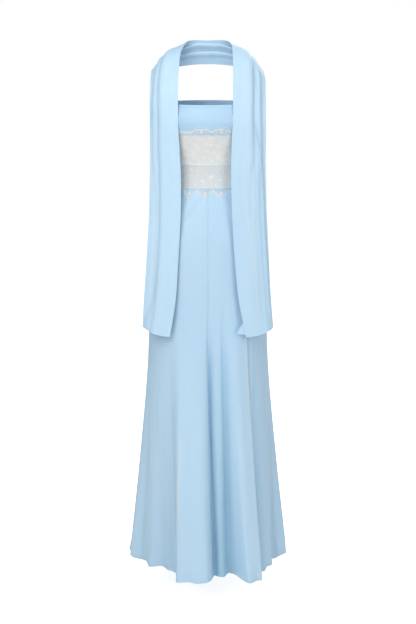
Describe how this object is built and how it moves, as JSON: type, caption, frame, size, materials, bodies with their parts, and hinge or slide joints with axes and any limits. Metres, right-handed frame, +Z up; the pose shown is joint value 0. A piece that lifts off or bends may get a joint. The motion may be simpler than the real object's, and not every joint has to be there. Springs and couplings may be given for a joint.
{
  "type": "maxi dress with matching scarf",
  "caption": "Strapless satin maxi dress with a lace midriff and a flared skirt, as worn, with its satin scarf hung round the neck.",
  "frame": {"origin": "centre of the bust opening at the height of the neckline, where the wearer holds the dress up", "axes": "+X to the viewer's right, -Y out of the front, +Z up"},
  "size_m": [0.4731, 0.496, 1.5321],
  "materials": {
    "satin": "pale blue satin, soft sheen",
    "lace": "ivory net lace, matt",
    "tape": "grey blue woven tape, matt",
    "zip_enamel": "pale blue enamel"
  },
  "bodies": {
    "dress": {"band_front": "satin", "band_back_left": "satin", "band_back_right": "satin", "lace_upper_front": "lace", "lace_upper_back_left": "lace", "lace_upper_back_right": "lace", "lace_lower_front": "lace", "lace_lower_back_left": "lace", "lace_lower_back_right": "lace", "skirt_front_left": "satin", "skirt_front_right": "satin", "skirt_back_left": "satin", "skirt_back_right": "satin", "scarf_left": "satin", "scarf_neck": "satin", "scarf_right": "satin", "scarf_under_layer": "satin", "zip_tape_left": "tape", "zip_tape_right": "tape", "zip_slider": "zip_enamel", "grip_tape_left": "tape", "grip_tape_right": "tape"},
    "pull_tab": {"zip_pull": "zip_enamel"}
  },
  "joints": [
    {"name": "pull_tab_swing", "type": "hinge", "parent": "dress", "child": "pull_tab", "pos_m": [0, 0.10583, -0.01125], "axis": [1, 0, 0], "range_deg": [0, 130]}
  ]
}
